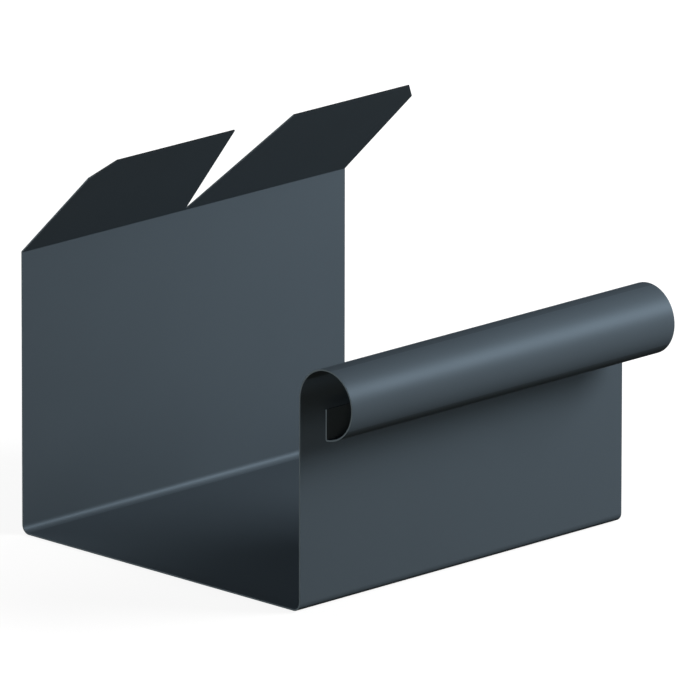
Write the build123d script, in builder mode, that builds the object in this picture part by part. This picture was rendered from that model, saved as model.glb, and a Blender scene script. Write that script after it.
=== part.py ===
"""Gutter connector: one folded sheet that wraps the joint between two lengths of box gutter.

Millimetres. X runs along the gutters, -Y is the front with the bead, +Z is up.
The origin is the middle of the floor's underside, midway between the two ends.
"""
import os
from math import cos, radians, sin, tan

from build123d import *

# The sheet and the length of gutter that it covers
sheet = 0.5
run = 140.0

# The channel: the clear width takes a 120 mm box gutter with a little play
channel_width = 120.2
floor_bend = 2.4

# The back wall and the flaps that are later folded down over the gutters' back edges
back_height = 90.0
fold_bend = 0.3
flap_angle = 44.6
flap_length = 49.3
corner_along_tip = 6.8
corner_along_side = 7.9

# The V between the two flaps, which lets each follow its own gutter, and the strip left below it
notch_width = 25.6
notch_root = 0.8
notch_strip = 1.0

# The bead along the front edge: a tube rolled outwards, open at the bottom behind its lip
bead_diameter = 22.4
bead_reach = 22.3
bead_top = 78.8
bead_roll_angle = 172.0

# The lip: the sheet's last stretch, folded up inside the bead
lip_bend = 0.15
lip_top = 66.4

# Places that follow from the sizes above
back_face = channel_width / 2 + sheet
front_face = -back_face
bead_radius = bead_diameter / 2
bead_y = front_face - bead_reach + bead_radius
shoulder_radius = front_face - bead_y
shoulder_foot = bead_top - sheet - shoulder_radius
lip_face = bead_y - sheet / 2

# The flap in the section: its lean above the horizontal, and the direction out of its underside
flap_lean = radians(flap_angle)
flap_down = (0, -sin(flap_lean), -cos(flap_lean))
flap_tip = (back_face - flap_length * cos(flap_lean), back_height + flap_length * sin(flap_lean))
flap_start = (fold_bend + sheet) * tan((radians(90) - flap_lean) / 2)
notch_start = flap_start + notch_strip

with BuildPart() as connector_sheet:
    # The section follows the sheet's weather side from the flap's tip round to the lip's free edge
    with BuildSketch(Plane.YZ):
        with BuildLine():
            channel = FilletPolyline(
                flap_tip,
                (back_face, back_height),
                (back_face, 0),
                (front_face, 0),
                (front_face, shoulder_foot),
                radius=[fold_bend + sheet, floor_bend + sheet, floor_bend + sheet],
            )
            # The wall turns outwards in a shoulder, and the bead is rolled on from its crown
            shoulder = JernArc(channel @ 1, channel % 1, shoulder_radius, 90)
            bead = JernArc(shoulder @ 1, shoulder % 1, bead_radius - sheet, bead_roll_angle)
            # The roll ends in a short flat that runs on to the lip's fold
            flat_run = lip_face - (bead @ 1).X
            flat_drop = flat_run * (bead % 1).Y / (bead % 1).X
            lip_root = (lip_face, (bead @ 1).Y + flat_drop)
            FilletPolyline(bead @ 1, lip_root, (lip_face, lip_top), radius=lip_bend)
            offset(amount=sheet, side=Side.RIGHT)
        make_face()
    extrude(amount=run / 2, both=True)

    # The flaps' outer corners are cut back, further along the side than along the tip
    tip = connector_sheet.faces().sort_by(Axis.Z)[-1]
    tip_corners = tip.edges().sort_by(SortBy.LENGTH)[:2]
    chamfer(tip_corners, length=corner_along_tip, length2=corner_along_side, reference=tip)

    # The V is cut through the flap and stops just short of the fold's bend
    with BuildSketch(Plane(origin=(0, back_face, back_height), x_dir=(1, 0, 0), z_dir=flap_down)):
        Polygon(
            (-notch_root / 2, notch_start),
            (notch_root / 2, notch_start),
            (notch_width / 2, flap_length),
            (-notch_width / 2, flap_length),
            align=None,
        )
    extrude(amount=sheet, mode=Mode.SUBTRACT)

connector_sheet.part.label = "connector_sheet"
os.makedirs("parts", exist_ok=True)
export_step(connector_sheet.part, "parts/connector_sheet.step")
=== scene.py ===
"""Gutter connector: satin paint on the folded sheet, a pale floor, soft studio light and a camera
at the photograph's viewing angle.

Metres and degrees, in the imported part's own frame: X along the gutters, -Y the bead's side, +Z up.
"""
from math import cos, pi, radians, sin

import bpy
from mathutils import Matrix, Vector

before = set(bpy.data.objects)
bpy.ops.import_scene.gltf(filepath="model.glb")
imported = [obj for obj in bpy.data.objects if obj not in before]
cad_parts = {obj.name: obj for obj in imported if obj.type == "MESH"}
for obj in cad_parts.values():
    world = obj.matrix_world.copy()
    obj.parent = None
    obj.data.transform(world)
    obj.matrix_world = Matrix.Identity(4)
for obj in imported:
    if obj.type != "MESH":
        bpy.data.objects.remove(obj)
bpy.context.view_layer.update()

# The camera: where it looks, from which side, how far off and how long its lens is
AIM = (0.016224, 0.005040, 0.053247)
VIEW_AZIMUTH = -45.064
VIEW_ELEVATION = 15.725
VIEW_ROLL = 0.076
VIEW_DISTANCE = 5.642
LENS = 946.7
SENSOR = 36.0
CLIP_NEAR = 0.5
CLIP_FAR = 40.0

# The floor: how far it reaches and how far under the sheet it lies. Seen directly or in the gloss
# it is white with a light shadow, a little darker near the object. What it sends back to the sheet
# is the light of a dark, warm cloth.
FLOOR_HALF = 12.0
FLOOR_DROP = 0.0002
FLOOR_BOUNCE = (0.07, 0.062, 0.045)
FLOOR_SHADOW = (0.17, 0.17, 0.17)
FLOOR_GLOW_NEAR = 0.90
FLOOR_GLOW_FAR = 1.0
FLOOR_WHITE_FROM = 0.09
FLOOR_WHITE_TO = 0.22

# The lamps: azimuth and elevation of the soft box, its distance, width, height, level and colour.
# A white surface that faces a white lamp of level 1 from the object's middle shows as white.
WHITE = (1.0, 1.0, 1.0)
WARM = (1.0, 0.87, 0.67)
LAMPS = {
    "key": (44, 28, 0.9, 0.46, 0.32, 1.045, WHITE),
    "high_fill": (60, 40, 1.0, 0.5, 0.5, 0.09, WHITE),
    "right_fill": (90, 4, 1.0, 0.4, 0.12, 0.44, WHITE),
    "rear_right_fill": (120, 8, 1.0, 0.5, 0.5, 0.51, WHITE),
    "rear_left_fill": (-155, 8, 1.0, 0.5, 0.5, 0.33, WHITE),
    "left_fill": (-88, 4, 1.0, 0.4, 0.12, 0.17, WHITE),
    "front_left_fill": (-50, 4, 1.0, 0.4, 0.12, 0.108, WARM),
}
LAMP_AIM = (0.0, 0.0, 0.045)

# The coating: a dark blue-grey paint with fine flakes, so its gloss is weak and has the paint's own
# colour, with no neutral gloss over it
PAINT = (0.0733, 0.0960, 0.1170)
PAINT_SPREAD = 0.3
PAINT_FLAKE = 0.17
PAINT_ROUGHNESS = 0.47
PAINT_GLOSS = 0.0
GLOSS_TINT = (0.0, 0.0, 0.0)

# A fine grain and a wide cloud lie over the coating. Both swing its shade, the cloud swings its
# roughness too, and the grain is also a little relief.
GRAIN = {"Scale": 2100.0, "Detail": 2.0, "Roughness": 0.55}
GRAIN_SHADE = 0.06
GRAIN_RELIEF = 0.06
GRAIN_HEIGHT = 0.00002
CLOUD = {"Scale": 38.0, "Detail": 3.0, "Roughness": 0.5}
CLOUD_SHADE = 0.10
CLOUD_ROUGHNESS = 0.06

# The middle of a noise, and of a blend of two colours
MIDDLE = 0.5

# The cut edges that face along X, at both ends and in the V, show the bare sheet between its coats;
# their colour, lighter than the paint, is partly that bare sheet and partly a painted highlight on
# these rims
CUT_AND_RIM_HIGHLIGHT = (0.115, 0.146, 0.166)
CUT_FLAKE = 0.20
CUT_ROUGHNESS = 0.5

# The flaps' sheared tips face up the flaps' slope, high over the rest, and get painted shade, as
# dark as the shaded flaps
TIP_PAINTED_SHADE = (0.016, 0.020, 0.023)
TIP_PAINTED_SHADE_FACES = (0.0, -0.712, 0.702)
TIP_PAINTED_SHADE_ABOVE = 0.12

# How squarely a face has to look along X, or the tips' way, to begin and to end being such a cut, or
# a tip with painted shade
FACING_FROM = 0.45
FACING_TO = 0.85

# The mesh: what counts as one flat face, and how far the sheared edges are softened
SEAM = 1e-6
FLAT_WITHIN = 0.5
EDGE_RADIUS = 0.00005
EDGE_ANGLE = 40
EDGE_SEGMENTS = 2

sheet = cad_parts["connector_sheet"]


def direction(azimuth, elevation):
    """The unit vector towards something seen round the object: azimuth 0 is -Y, 90 is +X."""
    a, e = radians(azimuth), radians(elevation)
    return Vector((sin(a) * cos(e), -cos(a) * cos(e), sin(e)))


def add_camera():
    """The photograph's camera: a very long lens, turned a little about its own axis."""
    back = direction(VIEW_AZIMUTH, VIEW_ELEVATION)
    level = direction(VIEW_AZIMUTH + 90, 0)
    rise = back.cross(level)
    roll = radians(VIEW_ROLL)
    right = level * cos(roll) + rise * sin(roll)
    up = rise * cos(roll) - level * sin(roll)
    camera = bpy.data.objects.new("camera", bpy.data.cameras.new("camera"))
    turn = Matrix((right, up, back)).transposed().to_4x4()
    camera.matrix_world = Matrix.Translation(Vector(AIM) + back * VIEW_DISTANCE) @ turn
    camera.data.lens = LENS
    camera.data.sensor_width = SENSOR
    camera.data.clip_start = CLIP_NEAR
    camera.data.clip_end = CLIP_FAR
    bpy.context.scene.collection.objects.link(camera)
    bpy.context.scene.camera = camera


def add_lamp(name, azimuth, elevation, distance, width, height, level, colour):
    """A soft box that faces the object."""
    lamp = bpy.data.objects.new(name, bpy.data.lights.new(name, "AREA"))
    towards = direction(azimuth, elevation)
    lamp.location = Vector(LAMP_AIM) + towards * distance
    lamp.rotation_mode = "QUATERNION"
    lamp.rotation_quaternion = (-towards).to_track_quat("-Z", "Y")
    lamp.data.shape = "RECTANGLE"
    lamp.data.size = width
    lamp.data.size_y = height
    lamp.data.energy = level * pi ** 2 * distance ** 2
    lamp.data.color = colour
    bpy.context.scene.collection.objects.link(lamp)


def opaque(colour):
    """A colour as a socket takes it, with its alpha."""
    return (*colour, 1)


def shaded(colour, factor):
    """A colour made darker or lighter."""
    return tuple(part * factor for part in colour)


class Nodes:
    """A material's node tree, with short calls to add and link nodes."""

    def __init__(self, tree):
        self.tree = tree
        tree.nodes.clear()

    def add(self, kind, settings=(), **inputs):
        """One node. Settings are its own properties, inputs its sockets, as values or as links."""
        node = self.tree.nodes.new(kind)
        for key, value in dict(settings).items():
            setattr(node, key, value)
        for key, value in inputs.items():
            self.put(node, key.replace("_", " "), value)
        return node

    def put(self, node, socket, value):
        """One socket, by name or number, set to a value or linked to an output."""
        into = node.inputs[socket]
        if isinstance(value, bpy.types.NodeSocket):
            self.tree.links.new(value, into)
        else:
            into.default_value = value

    def put_all(self, node, values):
        """The node's first sockets, in their order."""
        for k, value in enumerate(values):
            self.put(node, k, value)

    def math(self, operation, *values):
        """The result of one sum on numbers."""
        node = self.add("ShaderNodeMath", {"operation": operation})
        self.put_all(node, values)
        return node.outputs[0]

    def ramp(self, value, low, high, out_low=0.0, out_high=1.0):
        """Smooth step of value from low to high."""
        node = self.add("ShaderNodeMapRange", {"interpolation_type": "SMOOTHSTEP"})
        self.put_all(node, (value, low, high, out_low, out_high))
        return node.outputs[0]

    def swing(self, noise, share):
        """A noise between 0 and 1 as a share that goes up and down about nothing."""
        return self.math("MULTIPLY", self.math("SUBTRACT", noise, MIDDLE), share)

    def mix(self, factor, a, b):
        """A colour between a and b."""
        node = self.add("ShaderNodeMix", {"data_type": "RGBA", "clamp_factor": True})
        self.put(node, 0, factor)
        colours = [k for k, socket in enumerate(node.inputs) if socket.type == "RGBA"]
        for k, value in zip(colours, (a, b)):
            self.put(node, k, value)
        return next(socket for socket in node.outputs if socket.type == "RGBA")

    def facing(self, amount):
        """0 to 1 as a face turns a given way, from how squarely it faces there."""
        return self.ramp(amount, FACING_FROM, FACING_TO)


def make_paint():
    """The coil coating, with bare sheet and a painted highlight where it was sheared along X, and
    painted shade on the flaps' tips.
    """
    material = bpy.data.materials.new("satin_coating")
    material.use_nodes = True
    n = Nodes(material.node_tree)
    place = n.add("ShaderNodeTexCoord")
    at, normal = place.outputs["Object"], place.outputs["Normal"]

    # Where the sheet was sheared: 1 on the cuts that face along X, which get a partly painted
    # highlight, and 1 on the flaps' tips, which get painted shade
    along = n.add("ShaderNodeSeparateXYZ", Vector=normal).outputs["X"]
    cut_and_rim_highlight = n.facing(n.math("ABSOLUTE", along))
    slope = n.add("ShaderNodeVectorMath", {"operation": "DOT_PRODUCT"})
    n.put_all(slope, (normal, TIP_PAINTED_SHADE_FACES))
    height = n.add("ShaderNodeSeparateXYZ", Vector=at).outputs["Z"]
    high = n.math("GREATER_THAN", height, TIP_PAINTED_SHADE_ABOVE)
    tip_painted_shade = n.math("MULTIPLY", n.facing(slope.outputs["Value"]), high)

    # The coat's own shade, then the cuts, partly a painted highlight, and the painted shade of the
    # tips over it
    grain = n.add("ShaderNodeTexNoise", Vector=at, **GRAIN).outputs["Fac"]
    cloud = n.add("ShaderNodeTexNoise", Vector=at, **CLOUD).outputs["Fac"]
    shade = n.math("ADD", n.swing(cloud, CLOUD_SHADE), n.swing(grain, GRAIN_SHADE))
    darker = opaque(shaded(PAINT, 1 - PAINT_SPREAD))
    lighter = opaque(shaded(PAINT, 1 + PAINT_SPREAD))
    coat = n.mix(n.math("ADD", shade, MIDDLE), darker, lighter)
    colour = n.mix(tip_painted_shade, n.mix(cut_and_rim_highlight, coat, opaque(CUT_AND_RIM_HIGHLIGHT)), opaque(TIP_PAINTED_SHADE))

    flake = n.ramp(cut_and_rim_highlight, 0.0, 1.0, PAINT_FLAKE, CUT_FLAKE)
    rough = n.math("ADD", n.swing(cloud, CLOUD_ROUGHNESS),
                   n.ramp(cut_and_rim_highlight, 0.0, 1.0, PAINT_ROUGHNESS, CUT_ROUGHNESS))
    relief = n.add("ShaderNodeBump", Strength=GRAIN_RELIEF, Distance=GRAIN_HEIGHT, Height=grain)
    shader = n.add("ShaderNodeBsdfPrincipled", Base_Color=colour, Metallic=flake, Roughness=rough,
                   Normal=relief.outputs["Normal"])
    shader.inputs["Specular IOR Level"].default_value = PAINT_GLOSS
    shader.inputs["Specular Tint"].default_value = opaque(GLOSS_TINT)
    n.add("ShaderNodeOutputMaterial", Surface=shader.outputs["BSDF"])
    return material


def dress_sheet():
    """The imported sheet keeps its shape. Its flat faces become whole and its sheared edges soft."""
    weld = sheet.modifiers.new("join_seams", "WELD")
    weld.merge_threshold = SEAM
    whole = sheet.modifiers.new("whole_faces", "DECIMATE")
    whole.decimate_type = "DISSOLVE"
    whole.angle_limit = radians(FLAT_WITHIN)
    soft = sheet.modifiers.new("soft_edges", "BEVEL")
    soft.width = EDGE_RADIUS
    soft.segments = EDGE_SEGMENTS
    soft.limit_method = "ANGLE"
    soft.angle_limit = radians(EDGE_ANGLE)
    even = sheet.modifiers.new("even_normals", "WEIGHTED_NORMAL")
    even.mode = "FACE_AREA_WITH_ANGLE"
    sheet.material_slots[0].material = make_paint()


def seen_white(n):
    """1 for rays that look at the surroundings, straight, in the gloss or through glass, and 0 for
    rays that light the sheet."""
    ray = n.add("ShaderNodeLightPath").outputs
    seen = n.math("MAXIMUM", ray["Is Camera Ray"], ray["Is Glossy Ray"])
    return n.math("MAXIMUM", seen, ray["Is Transmission Ray"])


def add_floor():
    """A floor that keeps the object's shadow and fades to plain white a little way off."""
    corners = [(x * FLOOR_HALF, y * FLOOR_HALF, 0) for x, y in ((-1, -1), (1, -1), (1, 1), (-1, 1))]
    mesh = bpy.data.meshes.new("floor")
    mesh.from_pydata(corners, [], [(0, 1, 2, 3)])
    floor = bpy.data.objects.new("floor", mesh)
    floor.location.z = -FLOOR_DROP
    bpy.context.scene.collection.objects.link(floor)
    material = bpy.data.materials.new("pale_floor")
    material.use_nodes = True
    n = Nodes(material.node_tree)
    place = n.add("ShaderNodeTexCoord")
    away = n.add("ShaderNodeVectorMath", {"operation": "LENGTH"}, Vector=place.outputs["Object"])
    far = n.ramp(away.outputs["Value"], FLOOR_WHITE_FROM, FLOOR_WHITE_TO)
    glow = n.add("ShaderNodeEmission", Color=opaque(WHITE),
                 Strength=n.ramp(far, 0.0, 1.0, FLOOR_GLOW_NEAR, FLOOR_GLOW_FAR))
    shadow = n.add("ShaderNodeBsdfDiffuse", Color=opaque(FLOOR_SHADOW))
    white = n.add("ShaderNodeAddShader")
    n.put_all(white, (glow.outputs[0], shadow.outputs[0]))
    bounce = n.add("ShaderNodeBsdfDiffuse", Color=opaque(FLOOR_BOUNCE))
    both = n.add("ShaderNodeMixShader")
    n.put_all(both, (seen_white(n), bounce.outputs[0], white.outputs[0]))
    n.add("ShaderNodeOutputMaterial", Surface=both.outputs[0])
    floor.data.materials.append(material)


def add_world():
    """White round about, seen by the camera and in the gloss. The lamps alone light the sheet."""
    world = bpy.data.worlds.new("studio")
    bpy.context.scene.world = world
    world.use_nodes = True
    n = Nodes(world.node_tree)
    glow = n.add("ShaderNodeBackground", Color=opaque(WHITE), Strength=seen_white(n))
    n.add("ShaderNodeOutputWorld", Surface=glow.outputs[0])


add_camera()
add_floor()
add_world()
dress_sheet()
for lamp_name, settings in LAMPS.items():
    add_lamp(lamp_name, *settings)
bpy.context.scene.view_settings.view_transform = "Standard"
